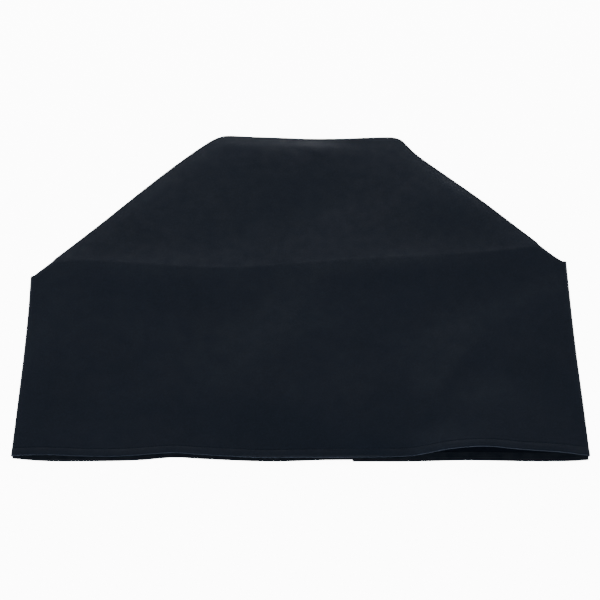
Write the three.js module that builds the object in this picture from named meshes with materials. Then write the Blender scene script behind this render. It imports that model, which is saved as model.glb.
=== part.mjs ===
import * as THREE from "three";

// A box-shaped cloth cover, empty and lying collapsed on its back wall.
// The side walls are folded outwards, and the top is tucked in between the front and the back.
// Millimetres. While it is built, x runs along the hem from its middle, y from the hem to the top.

// The box that the cover is sewn to fit
const WIDTH = 312;
const DEPTH = 548;
const HEIGHT = 612;

// The front lies this far to the right of the back's middle
const OFF_CENTRE = 15;

// Cloth and hem
const CLOTH = 1.2;
const HEM = 13.5;
const HEM_TURN = 0.8;
const HEM_SHORTER = 1.5;
const SEAM_GAP = 0.3;

// Heights of the front's mid-surface, and how softly it rises from its folded edges
const BACK_Z = CLOTH / 2;
const LOW = 5.0;
const LOW_EDGE = 4.7;
const HIGH = 10.6;
const HIGH_EDGE = 11.0;
const RIM = 6;

// The ridge where the front drapes over the tuck's inner fold
const RAMP = 115;
const RAMP_POWER = 1.5;
const LIP = 1.5;
const LIP_WIDTH = 28;
const FOLD_BEHIND = 4;
const SHORTEST_TUCK = 5;
const TUCK_START = 0.04;

// How far the line between the shoulders bows down, to keep clear of the ridge
const SHOULDER_BOW = 16;

// How far up the front the mouth's lift is felt
const LIFT_REACH = 165;

// How soon the swells grow from the hem and from the folded edges, which lift by a share of them
const HEM_FADE = 30;
const EDGE_FADE = 40;
const EDGE_SHARE = 0.35;

// Keeps a swell's sharp crest from being a kink
const CREST_ROUND = 0.01;

// Fineness
const COLUMNS = 20;
const COLUMNS_TO_SIDES = 0.5;
const HEM_STEP = 1;
const ROWS_TO_SHOULDER = 7;
const ROWS_TO_RIDGE = 2;
const ROWS_TO_TOP = 9;
const FOLD_STEPS = 4;
const SIDE_STEPS = 6;
const TUCK_STEPS = 5;
const SIDE_PIECES = 20;
const CROWN_PIECES = 80;
const CROWN_DIVISIONS = 2000;
const SHARE_STEPS = 4000;
const CORNER_BACK = 1;

// Fold corners of the flat cover
const HALF = (WIDTH + DEPTH) / 2;
const LEFT_REACH = DEPTH / 2 + OFF_CENTRE;
const RIGHT_REACH = DEPTH / 2 - OFF_CENTRE;
const HEM_LEFT = { x: -HALF + HEM_SHORTER, y: 0 };
const HEM_RIGHT = { x: HALF - HEM_SHORTER, y: 0 };
const SHOULDER_LEFT = { x: -HALF, y: HEIGHT - LEFT_REACH };
const SHOULDER_RIGHT = { x: HALF, y: HEIGHT - RIGHT_REACH };
const TOP_LEFT = { x: -HALF + LEFT_REACH, y: HEIGHT };
const TOP_RIGHT = { x: HALF - RIGHT_REACH, y: HEIGHT };

// How the cloth's folded edges bow: along is a share of the edge, out is in millimetres
const LEFT_SIDE = [
  { along: 0, out: -0.8 },
  { along: 0.25, out: -1.9 },
  { along: 0.55, out: -2.9 },
  { along: 0.82, out: -2.1 },
  { along: 1, out: -0.4 },
];
const LEFT_SLOPE = [
  { along: 0, out: -2.0 },
  { along: 0.15, out: -2.8 },
  { along: 0.36, out: -1.3 },
  { along: 0.58, out: 2.1 },
  { along: 0.8, out: 3.8 },
  { along: 0.93, out: 1.8 },
  { along: 0.985, out: -1.2 },
];
const TOP_EDGE = [
  { along: 0.034, out: 0.7 },
  { along: 0.075, out: 1.4 },
  { along: 0.18, out: -0.4 },
  { along: 0.34, out: -2.2 },
  { along: 0.5, out: -4.0 },
  { along: 0.67, out: -2.7 },
  { along: 0.8, out: -0.7 },
  { along: 0.92, out: 0.5 },
  { along: 0.957, out: -0.1 },
];
const RIGHT_SLOPE = [
  { along: 0.012, out: -4.2 },
  { along: 0.045, out: -5.9 },
  { along: 0.12, out: -10.0 },
  { along: 0.3, out: -9.6 },
  { along: 0.53, out: -7.2 },
  { along: 0.77, out: -8.0 },
  { along: 0.93, out: -8.2 },
  { along: 1, out: -5.0 },
];
const RIGHT_SIDE = [
  { along: 0, out: -0.7 },
  { along: 0.25, out: -2.0 },
  { along: 0.5, out: -3.7 },
  { along: 0.8, out: -4.0 },
  { along: 1, out: -3.6 },
];

// Crest of the ridge across the front
const RIDGE = [
  { x: -430, y: 344 },
  { x: -400, y: 347 },
  { x: -341, y: 348 },
  { x: -227, y: 341 },
  { x: -147, y: 337 },
  { x: -55, y: 341 },
  { x: 60, y: 348 },
  { x: 141, y: 354 },
  { x: 264, y: 363 },
  { x: 344, y: 372 },
  { x: 385, y: 380 },
  { x: 430, y: 384 },
];

// Lower edges: y of the front hem and of the back hem, and the front hem's lift at the mouth
const FRONT_HEM = [
  { x: -430, y: 0, lift: 0 },
  { x: -368, y: 0.8, lift: 0.6 },
  { x: -312, y: -1.2, lift: 0 },
  { x: -256, y: -0.6, lift: 0 },
  { x: -190, y: 4, lift: 1.6 },
  { x: -148, y: 1.5, lift: 0.6 },
  { x: -63, y: -3.6, lift: 0 },
  { x: 8, y: -3, lift: 0 },
  { x: 79, y: -3.2, lift: 0 },
  { x: 160, y: -1.4, lift: 0.6 },
  { x: 191, y: 1, lift: 7 },
  { x: 221, y: 4, lift: 13 },
  { x: 270, y: 6, lift: 17 },
  { x: 324, y: 3.5, lift: 12.5 },
  { x: 385, y: 1.8, lift: 6.5 },
  { x: 418, y: 0, lift: 1.5 },
  { x: 430, y: 0, lift: 0 },
];
const BACK_HEM = [
  { x: -430, y: -3 },
  { x: -380, y: -7.6 },
  { x: -322, y: -8.2 },
  { x: -240, y: -6.4 },
  { x: -187, y: -1.6 },
  { x: -145, y: -4.2 },
  { x: -45, y: -8.4 },
  { x: 45, y: -5.8 },
  { x: 160, y: -5.6 },
  { x: 244, y: -3.6 },
  { x: 344, y: -5.4 },
  { x: 400, y: -4.8 },
  { x: 430, y: -2.4 },
];

// The back wall's upright join, and how far the hem to its right hangs lower
const JOIN_X = 77;
const JOIN_WIDTH = 1.4;
const JOIN_STEP = 2.9;

// Soft swells and hollows of the front, from the mouth's up to those over the tuck.
// long, above and below are half lengths along the crest and to its two sides, and turn is the
// crest's angle from the x axis in degrees. sharp runs from 0, a round crest, to 1, a creased one.
const SWELLS = [
  { x: 237, y: 39, long: 170, above: 50, below: 25, turn: -4, height: -2.5, sharp: 0.2 },
  { x: 224, y: 134, long: 104, above: 53, below: 35, turn: 56, height: 7, sharp: 0.3 },
  { x: 226, y: 307, long: 170, above: 53, below: 90, turn: 25, height: 4.8, sharp: 0.3 },
  { x: -268, y: 302, long: 145, above: 110, below: 90, turn: 63, height: 7, sharp: 0.1 },
  { x: 429, y: 295, long: 115, above: 31, below: 81, turn: 25, height: 5.6, sharp: 0.2 },
  { x: 240, y: 507, long: 156, above: 36, below: 26, turn: 136, height: 4.6, sharp: 0.2 },
  { x: -77, y: 587, long: 170, above: 107, below: 69, turn: -49, height: 7, sharp: 0.2 },
  { x: 8, y: 582, long: 101, above: 21, below: 61, turn: -2, height: 7, sharp: 0.1 },
  { x: 99, y: 23, long: 34, above: 110, below: 90, turn: 11, height: 6.3, sharp: 0.1 },
  { x: -191, y: 32, long: 91, above: 50, below: 90, turn: -52, height: -2.5, sharp: 0.1 },
  { x: -10, y: 76, long: 153, above: 110, below: 63, turn: -23, height: 5.9, sharp: 0.2 },
  { x: -221, y: 513, long: 170, above: 101, below: 56, turn: 46, height: 7, sharp: 0.2 },
  { x: 228, y: 475, long: 105, above: 110, below: 54, turn: -38, height: 7, sharp: 0.2 },
  { x: 161, y: 337, long: 31, above: 99, below: 90, turn: 99, height: 3.9, sharp: 0.2 },
  { x: -247, y: 92, long: 162, above: 27, below: 27, turn: -2, height: 0.8, sharp: 0.2 },
  { x: -5, y: 446, long: 170, above: 55, below: 43, turn: 22, height: -2.5, sharp: 0.2 },
  { x: -219, y: 371, long: 168, above: 58, below: 30, turn: 6, height: -2.5, sharp: 0.2 },
  { x: 13, y: 256, long: 170, above: 60, below: 90, turn: 59, height: 7, sharp: 0.2 },
  { x: -387, y: 219, long: 166, above: 59, below: 45, turn: 76, height: 7, sharp: 0.2 },
  { x: 278, y: 96, long: 58, above: 107, below: 49, turn: 19, height: 6.2, sharp: 0.2 },
  { x: -348, y: 289, long: 130, above: 35, below: 77, turn: -11, height: -2.4, sharp: 0.2 },
  { x: 367, y: 154, long: 114, above: 110, below: 52, turn: -27, height: 5.1, sharp: 0.2 },
];

// Smooth value of a table's column at x, through every row of the table
function smoothValue(table, key, value, x) {
  const last = table.length - 1;
  const slope = (k) => {
    const a = table[Math.max(k - 1, 0)];
    const b = table[Math.min(k + 1, last)];
    return (b[value] - a[value]) / (b[key] - a[key]);
  };
  if (x <= table[0][key]) {
    return table[0][value];
  }
  if (x >= table[last][key]) {
    return table[last][value];
  }
  const k = table.findIndex((row) => row[key] > x) - 1;
  const width = table[k + 1][key] - table[k][key];
  const t = (x - table[k][key]) / width;
  const rise = table[k + 1][value] - table[k][value];
  const bendA = slope(k) * width - rise;
  const bendB = rise - slope(k + 1) * width;
  return table[k][value] + t * rise + t * (1 - t) * ((1 - t) * bendA + t * bendB);
}

const ease = (t) => THREE.MathUtils.smootherstep(t, 0, 1);
const mix = THREE.MathUtils.lerp;
const ridgeY = (x) => smoothValue(RIDGE, "x", "y", x);

// Points of one bowed edge from corner a to corner b, with out to the left of its direction
function bowedEdge(a, b, table) {
  const length = Math.hypot(b.x - a.x, b.y - a.y);
  const outX = -(b.y - a.y) / length;
  const outY = (b.x - a.x) / length;
  return table.map(({ along, out }) => new THREE.Vector3(
    mix(a.x, b.x, along) + outX * out,
    mix(a.y, b.y, along) + outY * out,
    0,
  ));
}

const smoothLine = (points) => new THREE.CatmullRomCurve3(points, false, "centripetal");
const leftSide = smoothLine(bowedEdge(HEM_LEFT, SHOULDER_LEFT, LEFT_SIDE));
const rightSide = smoothLine(bowedEdge(SHOULDER_RIGHT, HEM_RIGHT, [...RIGHT_SIDE].reverse()
  .map(({ along, out }) => ({ along: 1 - along, out }))));
const leftSlope = bowedEdge(SHOULDER_LEFT, TOP_LEFT, LEFT_SLOPE);
const topEdge = bowedEdge(TOP_LEFT, TOP_RIGHT, TOP_EDGE);
const rightSlope = bowedEdge(TOP_RIGHT, SHOULDER_RIGHT, RIGHT_SLOPE);
const crown = smoothLine([...leftSlope, ...topEdge, ...rightSlope]);
crown.arcLengthDivisions = CROWN_DIVISIONS;

// Outline as a chain of short pieces, for the distance from the folded edges.
// The three lines meet at the shoulders, and each shoulder is taken once.
const outline = [...leftSide.getSpacedPoints(SIDE_PIECES), ...crown.getSpacedPoints(CROWN_PIECES).slice(1, -1),
  ...rightSide.getSpacedPoints(SIDE_PIECES)];

function distanceToEdge(x, y) {
  let nearest = Infinity;
  for (let k = 1; k < outline.length; k += 1) {
    const a = outline[k - 1];
    const b = outline[k];
    const dx = b.x - a.x;
    const dy = b.y - a.y;
    const t = THREE.MathUtils.clamp(((x - a.x) * dx + (y - a.y) * dy) / (dx * dx + dy * dy), 0, 1);
    nearest = Math.min(nearest, Math.hypot(x - a.x - t * dx, y - a.y - t * dy));
  }
  return nearest;
}

// Height that one swell adds over a place in the plan
function swellZ(swell, x, y) {
  const angle = THREE.MathUtils.degToRad(swell.turn);
  const along = ((x - swell.x) * Math.cos(angle) + (y - swell.y) * Math.sin(angle)) / swell.long;
  const aside = (y - swell.y) * Math.cos(angle) - (x - swell.x) * Math.sin(angle);
  const across = aside / (aside > 0 ? swell.above : swell.below);
  const power = 1 - swell.sharp / 2;
  return swell.height
    * Math.exp(-(along ** 2) - (across ** 2 + CREST_ROUND) ** power + CREST_ROUND ** power);
}

// Height of the front's mid-surface over a place in the plan
function frontZ(x, y) {
  const behind = y - ridgeY(x);
  const climb = THREE.MathUtils.clamp(behind / RAMP + 1, 0, 1);
  const lip = LIP * Math.exp(-Math.max(behind, 0) / LIP_WIDTH);
  const inside = distanceToEdge(x, y);
  const swells = (1 - Math.exp(-Math.max(y, 0) / HEM_FADE))
    * SWELLS.reduce((sum, swell) => sum + swellZ(swell, x, y), 0);
  const inner = mix(LOW, HIGH + lip, climb ** RAMP_POWER)
    + swells * mix(EDGE_SHARE, 1, 1 - Math.exp(-inside / EDGE_FADE));
  const edge = mix(LOW_EDGE, HIGH_EDGE, ease(climb)) + EDGE_SHARE * swells;
  const inward = 1 - Math.exp(-inside / RIM);
  const lift = smoothValue(FRONT_HEM, "x", "lift", x) * (1 - ease(y / LIFT_REACH));
  return mix(edge, inner, inward) + lift;
}

// The two tucked layers share the space under the front evenly
const upperTuckZ = (x, y) => mix(BACK_Z, frontZ(x, y), 2 / 3);
const lowerTuckZ = (x, y) => mix(BACK_Z, frontZ(x, y), 1 / 3);

// A station is a place on the outline and its outward direction
function station(line, share) {
  const place = line.getPointAt(share);
  const way = line.getTangentAt(share);
  return { x: place.x, y: place.y, outX: -way.y, outY: way.x };
}

// Place a, turned half way to the outward direction of b
function turnedHalfway(a, b) {
  const size = Math.hypot(a.outX + b.outX, a.outY + b.outY);
  return { ...a, outX: (a.outX + b.outX) / size, outY: (a.outY + b.outY) / size };
}

// The edge of a layer: the fold's reach and half the cloth inside the outline
function layerEdge({ x, y, outX, outY }, reach) {
  const inset = reach + CLOTH / 2;
  return { x: x - outX * inset, y: y - outY * inset };
}

// Points of a half-round fold between two layers, without its ends
function roundFold(edge, outX, outY, fromZ, toZ, reach, steps) {
  const points = [];
  for (let k = 1; k < steps; k += 1) {
    const angle = (Math.PI * k) / steps;
    const out = reach * Math.sin(angle);
    points.push(new THREE.Vector3(
      edge.x + outX * out,
      edge.y + outY * out,
      mix(fromZ, toZ, (1 - Math.cos(angle)) / 2),
    ));
  }
  return points;
}

// Four layers leave three spaces, and a fold's reach is half of one
const TUCK_REACH = (HIGH_EDGE - BACK_Z) / 6;

// The tuck at one x: from the front's edge round to the back's edge, with both ends
function tuckSection(place) {
  const edge = layerEdge(place, TUCK_REACH);
  const topZ = frontZ(edge.x, edge.y);
  const foldY = Math.min(ridgeY(edge.x) + FOLD_BEHIND, edge.y - SHORTEST_TUCK);
  const upper = [];
  const lower = [];
  for (let k = 0; k <= TUCK_STEPS; k += 1) {
    const y = mix(edge.y, foldY, k / TUCK_STEPS);
    upper.push(new THREE.Vector3(edge.x, y, upperTuckZ(edge.x, y)));
    lower.unshift(new THREE.Vector3(edge.x, y, lowerTuckZ(edge.x, y)));
  }
  const innerReach = (upper[TUCK_STEPS].z - lower[0].z) / 2;
  const inner = roundFold({ x: edge.x, y: foldY }, 0, -1, upper[TUCK_STEPS].z, lower[0].z, innerReach,
    FOLD_STEPS);
  const front = roundFold(edge, place.outX, place.outY, topZ, upper[0].z, TUCK_REACH, FOLD_STEPS);
  const back = roundFold(edge, place.outX, place.outY, lower[TUCK_STEPS].z, BACK_Z, TUCK_REACH, FOLD_STEPS);
  return [
    new THREE.Vector3(edge.x, edge.y, topZ),
    ...front,
    ...upper,
    ...inner,
    ...lower,
    ...back,
    new THREE.Vector3(edge.x, edge.y, BACK_Z),
  ];
}

// The plain side fold at one place of the outline, with both ends
function sideSection(place) {
  const rough = layerEdge(place, (LOW_EDGE - BACK_Z) / 2);
  const reach = (frontZ(rough.x, rough.y) - BACK_Z) / 2;
  const edge = layerEdge(place, reach);
  const topZ = frontZ(edge.x, edge.y);
  return [
    new THREE.Vector3(edge.x, edge.y, topZ),
    ...roundFold(edge, place.outX, place.outY, topZ, BACK_Z, reach, SIDE_STEPS),
    new THREE.Vector3(edge.x, edge.y, BACK_Z),
  ];
}

// A mid-surface of points and triangles, and the solid that it becomes with the cloth's thickness
class Sheet {
  constructor() {
    this.points = [];
    this.inside = [];
    this.faces = [];
  }

  row(points, turnedIn = 0) {
    return points.map((point) => {
      this.points.push(point);
      this.inside.push(CLOTH / 2 + turnedIn);
      return this.points.length - 1;
    });
  }

  // Joins two rows of the same length, each quad cut along its shorter diagonal
  join(low, high) {
    for (let k = 1; k < low.length; k += 1) {
      const [a, b, c, d] = [low[k - 1], low[k], high[k], high[k - 1]];
      const p = this.points;
      if (p[a].distanceTo(p[c]) <= p[b].distanceTo(p[d])) {
        this.faces.push([a, b, c], [a, c, d]);
      } else {
        this.faces.push([a, b, d], [b, c, d]);
      }
    }
  }

  // Joins two rows of different lengths, whose points both run steadily along one axis
  taper(low, high, axis) {
    const progress = (row, k) => {
      const [start, end, here] = [row[0], row.at(-1), row[k]].map((index) => this.points[index][axis]);
      return (here - start) / (end - start);
    };
    let a = 0;
    let b = 0;
    while (a < low.length - 1 || b < high.length - 1) {
      const lowIsNext = b === high.length - 1
        || (a < low.length - 1 && progress(low, a + 1) <= progress(high, b + 1));
      if (lowIsNext) {
        this.faces.push([low[a], low[a + 1], high[b]]);
        a += 1;
      } else {
        this.faces.push([low[a], high[b + 1], high[b]]);
        b += 1;
      }
    }
  }

  normals() {
    const normals = this.points.map(() => new THREE.Vector3());
    for (const face of this.faces) {
      const [a, b, c] = face.map((index) => this.points[index]);
      const normal = new THREE.Vector3().subVectors(b, a).cross(new THREE.Vector3().subVectors(c, a));
      face.forEach((index) => normals[index].add(normal));
    }
    return normals.map((normal) => normal.normalize());
  }

  solid() {
    const normals = this.normals();
    const count = this.points.length;
    const skin = (outwards) => this.points.map((point, k) => point.clone()
      .addScaledVector(normals[k], outwards ? CLOTH / 2 : -this.inside[k]));
    const corners = [...skin(true), ...skin(false)];
    const triangles = [];
    const open = new Map();
    for (const [a, b, c] of this.faces) {
      triangles.push([a, b, c], [a + count, c + count, b + count]);
      for (const [from, to] of [[a, b], [b, c], [c, a]]) {
        if (!open.delete(`${to} ${from}`)) {
          open.set(`${from} ${to}`, [from, to]);
        }
      }
    }
    for (const [from, to] of open.values()) {
      triangles.push([to, from, from + count], [to, from + count, to + count]);
    }
    const volume = triangles.reduce((sum, [a, b, c]) => sum
      + corners[a].dot(new THREE.Vector3().crossVectors(corners[b], corners[c])), 0);
    const geometry = new THREE.BufferGeometry();
    geometry.setAttribute("position", new THREE.Float32BufferAttribute(corners.flatMap((p) => p.toArray()), 3));
    geometry.setIndex(triangles.flatMap(([a, b, c]) => (volume > 0 ? [a, b, c] : [a, c, b])));
    geometry.computeVertexNormals();
    return geometry;
  }
}

// Columns stand closer near the side folds
function columnShare(k) {
  const even = k / COLUMNS;
  return mix(even, (1 - Math.cos(Math.PI * even)) / 2, COLUMNS_TO_SIDES);
}

// Shares of the crown's length: where the ridge meets it, and the middles of the two top corners
function crownShare(test) {
  for (let k = 0; k <= SHARE_STEPS; k += 1) {
    if (test(crown.getPointAt(k / SHARE_STEPS))) {
      return k / SHARE_STEPS;
    }
  }
  throw new Error("the crown has no such place");
}
const ridgeLeft = crownShare((p) => p.y > ridgeY(p.x));
const ridgeRight = crownShare((p) => p.x > 0 && p.y < ridgeY(p.x));
const cornerLeft = crownShare((p) => p.x > TOP_LEFT.x - CORNER_BACK);
const cornerRight = crownShare((p) => p.x > TOP_RIGHT.x - CORNER_BACK);

// Every row of the skirt, from the hem up: its stations and where its lines run
function rowStations() {
  const rows = [];
  const hemTop = HEM + HEM_STEP / 2;
  const hemShare = hemTop / SHOULDER_LEFT.y;
  for (const y of [0, hemTop - HEM_STEP, hemTop]) {
    rows.push({ guide: 0, share: y / SHOULDER_LEFT.y, turnedIn: y < HEM ? HEM_TURN : 0 });
  }
  for (let k = 1; k <= ROWS_TO_SHOULDER; k += 1) {
    rows.push({ guide: 0, share: mix(hemShare, 1, k / ROWS_TO_SHOULDER), turnedIn: 0 });
  }
  for (let k = 1; k <= ROWS_TO_RIDGE; k += 1) {
    rows.push({ guide: 1, share: k / ROWS_TO_RIDGE, turnedIn: 0 });
  }
  rows.push({ guide: 2, share: TUCK_START, turnedIn: 0 });
  for (let k = 1; k <= ROWS_TO_TOP; k += 1) {
    rows.push({ guide: 2, share: k / ROWS_TO_TOP, turnedIn: 0 });
  }
  return rows.map((row) => {
    const { guide, share } = row;
    if (guide === 0 && share < 1) {
      return { ...row, left: station(leftSide, share), right: station(rightSide, 1 - share) };
    }
    if (guide === 0) {
      return {
        ...row,
        left: turnedHalfway(station(leftSide, 1), station(crown, 0)),
        right: turnedHalfway(station(rightSide, 0), station(crown, 1)),
      };
    }
    const low = guide === 1 ? [0, 1] : [ridgeLeft, ridgeRight];
    const high = guide === 1 ? [ridgeLeft, ridgeRight] : [cornerLeft, cornerRight];
    return {
      ...row,
      left: station(crown, mix(low[0], high[0], share)),
      right: station(crown, mix(low[1], high[1], share)),
    };
  });
}

// Guide lines that the rows run between, as y over x
const shoulderY = (x) => mix(SHOULDER_LEFT.y, SHOULDER_RIGHT.y, (x + HALF) / (2 * HALF))
  - SHOULDER_BOW * (1 - (x / HALF) ** 2);
const frontHemY = (x) => smoothValue(FRONT_HEM, "x", "y", x);
const backHemY = (x) => smoothValue(BACK_HEM, "x", "y", x) - (x > JOIN_X ? JOIN_STEP : 0);

function layerRow({ guide, share }, left, right, hemY, columns, heightAt) {
  const lineY = (x) => {
    if (guide === 0) {
      return mix(hemY(x), shoulderY(x), share);
    }
    return guide === 1 ? mix(shoulderY(x), ridgeY(x), share) : mix(ridgeY(x), HEIGHT, share);
  };
  const leftMiss = left.y - lineY(left.x);
  const rightMiss = right.y - lineY(right.x);
  return columns.slice(1, -1).map((across) => {
    const x = mix(left.x, right.x, across);
    const y = lineY(x) + mix(leftMiss, rightMiss, across);
    return new THREE.Vector3(x, y, heightAt(x, y));
  });
}

// The top edge's row of one layer, a fold's reach inside the outline
function crownRow(columns, reach) {
  return columns.slice(1, -1).map((across) => {
    const place = station(crown, mix(cornerLeft, cornerRight, across));
    return { ...place, ...layerEdge(place, reach) };
  });
}

// The back has two columns more, at the two edges of its join
const frontColumns = Array.from({ length: COLUMNS + 1 }, (_, k) => columnShare(k));
const backLeft = sideSection(station(leftSide, 0)).at(-1).x;
const backRight = sideSection(station(rightSide, 1)).at(-1).x;
const joinColumns = [-1, 1].map((way) => (JOIN_X + (way * JOIN_WIDTH) / 2 - backLeft) / (backRight - backLeft));
const backColumns = [...frontColumns, ...joinColumns].sort((a, b) => a - b);

function buildSkirt() {
  const sheet = new Sheet();
  const rows = rowStations();
  const gussetFrom = rows.findIndex((row) => row.guide === 2);
  let below = null;
  rows.forEach((row, j) => {
    const isTop = j === rows.length - 1;
    const tucked = j >= gussetFrom;
    const section = tucked ? tuckSection : sideSection;
    const leftPoints = section(row.left);
    const rightPoints = section(row.right);
    if (j === 0) {
      leftPoints.at(-1).y += backHemY(-HALF);
      rightPoints.at(-1).y += backHemY(HALF);
    }
    const ends = [leftPoints[0], rightPoints[0]];
    const backEnds = [leftPoints.at(-1), rightPoints.at(-1)];
    const front = isTop
      ? crownRow(frontColumns, TUCK_REACH).map((p) => new THREE.Vector3(p.x, p.y, frontZ(p.x, p.y)))
      : layerRow(row, ends[0], ends[1], frontHemY, frontColumns, frontZ);
    const back = isTop
      ? crownRow(frontColumns, TUCK_REACH).map((p) => new THREE.Vector3(p.x, p.y, BACK_Z))
      : layerRow(row, backEnds[0], backEnds[1], backHemY, backColumns, () => BACK_Z);
    const left = sheet.row(leftPoints, row.turnedIn);
    const right = sheet.row(rightPoints, row.turnedIn);
    const now = {
      left,
      right,
      front: [left[0], ...sheet.row(front, row.turnedIn), right[0]],
      back: [right.at(-1), ...sheet.row(back.reverse(), row.turnedIn), left.at(-1)],
    };
    now.leftRing = [...left].reverse();
    if (below) {
      sheet.join(below.front, now.front);
      const sides = below.left.length === now.left.length ? "join" : "taper";
      sheet[sides](below.right, now.right, "z");
      sheet[sides](below.leftRing, now.leftRing, "z");
      sheet[isTop ? "taper" : "join"](below.back, now.back, "x");
    }
    below = now;
  });

  // Quarter rounds from the front and the back to the seam with the top panel
  const places = crownRow(frontColumns, TUCK_REACH);
  const seamTurn = SEAM_GAP / TUCK_REACH;
  const halfFold = FOLD_STEPS / 2;
  const quarter = (edgeRow, fromZ, toZ, leftIndex, rightIndex) => {
    let last = edgeRow;
    for (let k = 1; k <= halfFold; k += 1) {
      const turn = (Math.PI * k) / FOLD_STEPS - (k === halfFold ? seamTurn : 0);
      const points = places.map((place, i) => {
        const z = mix(fromZ(place), toZ(place), (1 - Math.cos(turn)) / 2);
        const out = TUCK_REACH * Math.sin(turn);
        return new THREE.Vector3(place.x + place.outX * out, place.y + place.outY * out, z);
      });
      const ends = [below.left[leftIndex(k)], below.right[rightIndex(k)]];
      const inner = sheet.row(edgeRow === below.front ? points : points.reverse());
      const next = edgeRow === below.front ? [ends[0], ...inner, ends[1]] : [ends[1], ...inner, ends[0]];
      sheet.join(last, next);
      last = next;
    }
  };
  const lastIndex = below.left.length - 1;
  quarter(below.front, (p) => frontZ(p.x, p.y), (p) => upperTuckZ(p.x, p.y), (k) => k, (k) => k);
  quarter(below.back, () => BACK_Z, (p) => lowerTuckZ(p.x, p.y), (k) => lastIndex - k, (k) => lastIndex - k);
  return sheet.solid();
}

// The top panel: the tuck's sections from seam to seam, between the two side walls
function buildTopPanel() {
  const sheet = new Sheet();
  const halfFold = FOLD_STEPS / 2;
  const seamTurn = SEAM_GAP / TUCK_REACH;
  let last = null;
  frontColumns.forEach((across, i) => {
    const place = station(crown, mix(cornerLeft, cornerRight, across));
    const shift = (i === 0 ? 1 : 0) - (i === COLUMNS ? 1 : 0);
    const points = tuckSection({ ...place, x: place.x + shift * SEAM_GAP });
    const front = points.slice(halfFold, points.length - halfFold);
    const middle = Math.PI / 2 + seamTurn;
    const edge = layerEdge({ ...place, x: place.x + shift * SEAM_GAP }, TUCK_REACH);
    const out = TUCK_REACH * Math.sin(middle);
    const down = (1 - Math.cos(middle)) / 2;
    const seamPlace = (fromZ, toZ) => new THREE.Vector3(
      edge.x + place.outX * out,
      edge.y + place.outY * out,
      mix(fromZ, toZ, down),
    );
    front[0] = seamPlace(frontZ(edge.x, edge.y), upperTuckZ(edge.x, edge.y));
    front[front.length - 1] = seamPlace(BACK_Z, lowerTuckZ(edge.x, edge.y));
    const row = sheet.row(front);
    if (last) {
      sheet.join(last, row);
    }
    last = row;
  });
  return sheet.solid();
}

// Each piece has its own material, in the same blue-black cloth
const CLOTH_COLOUR = 0x1b1f25;
const cloth = (name) => new THREE.MeshStandardMaterial({
  name,
  color: CLOTH_COLOUR,
  roughness: 0.82,
  metalness: 0,
});

const skirt = new THREE.Mesh(buildSkirt(), cloth("coated cloth"));
skirt.name = "skirt";
const topPanel = new THREE.Mesh(buildTopPanel(), cloth("coated cloth, top"));
topPanel.name = "top_panel";

// The origin is the middle of the cover's underside
const cover = new THREE.Group();
cover.name = "cover";
cover.add(skirt, topPanel);
const extent = new THREE.Box3().setFromObject(cover);
const middle = extent.getCenter(new THREE.Vector3());
cover.position.set(-middle.x, -middle.y, -extent.min.z);

export default cover;
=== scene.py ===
import math

import bpy
import numpy as np
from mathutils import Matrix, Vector


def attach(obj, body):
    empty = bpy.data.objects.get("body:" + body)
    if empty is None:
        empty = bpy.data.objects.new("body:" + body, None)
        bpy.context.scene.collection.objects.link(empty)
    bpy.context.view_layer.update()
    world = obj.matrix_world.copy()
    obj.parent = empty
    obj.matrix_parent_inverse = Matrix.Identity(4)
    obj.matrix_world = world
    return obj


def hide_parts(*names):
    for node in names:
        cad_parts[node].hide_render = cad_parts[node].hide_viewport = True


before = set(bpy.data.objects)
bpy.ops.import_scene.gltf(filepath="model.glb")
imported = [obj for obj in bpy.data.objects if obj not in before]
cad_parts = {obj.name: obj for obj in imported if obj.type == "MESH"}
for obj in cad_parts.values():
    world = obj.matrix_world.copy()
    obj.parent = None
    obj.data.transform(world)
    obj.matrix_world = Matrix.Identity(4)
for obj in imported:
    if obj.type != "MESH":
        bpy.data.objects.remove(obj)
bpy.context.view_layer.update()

bl_info = {
    "name": "Collapsed speaker cover",
    "version": (1, 0, 0),
    "blender": (4, 5, 0),
    "location": "View3D > Sidebar > Cover",
    "description": "Makes a box-shaped cloth cover that lies empty with its top tucked in",
    "category": "Add Mesh",
}

MM = 0.001

# The box that the cover is sewn to fit, in millimetres as all sizes up to the mesh
WIDTH = 312.0
DEPTH = 548.0
HEIGHT = 612.0

# How far the side walls' folds lie off their centre lines, and how much the hem draws in at each end
OFF_CENTRE = 15.0
HEM_SHORTER = 1.5

# Fold corners of the flat cover, x along the hem from its middle and y from the hem to the top
HALF = (WIDTH + DEPTH) / 2
LEFT_REACH = DEPTH / 2 + OFF_CENTRE
RIGHT_REACH = DEPTH / 2 - OFF_CENTRE
HEM_LEFT = (-HALF + HEM_SHORTER, 0.0)
HEM_RIGHT = (HALF - HEM_SHORTER, 0.0)
SHOULDER_LEFT = (-HALF, HEIGHT - LEFT_REACH)
SHOULDER_RIGHT = (HALF, HEIGHT - RIGHT_REACH)
TOP_LEFT = (-HALF + LEFT_REACH, HEIGHT)
TOP_RIGHT = (HALF - RIGHT_REACH, HEIGHT)

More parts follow.
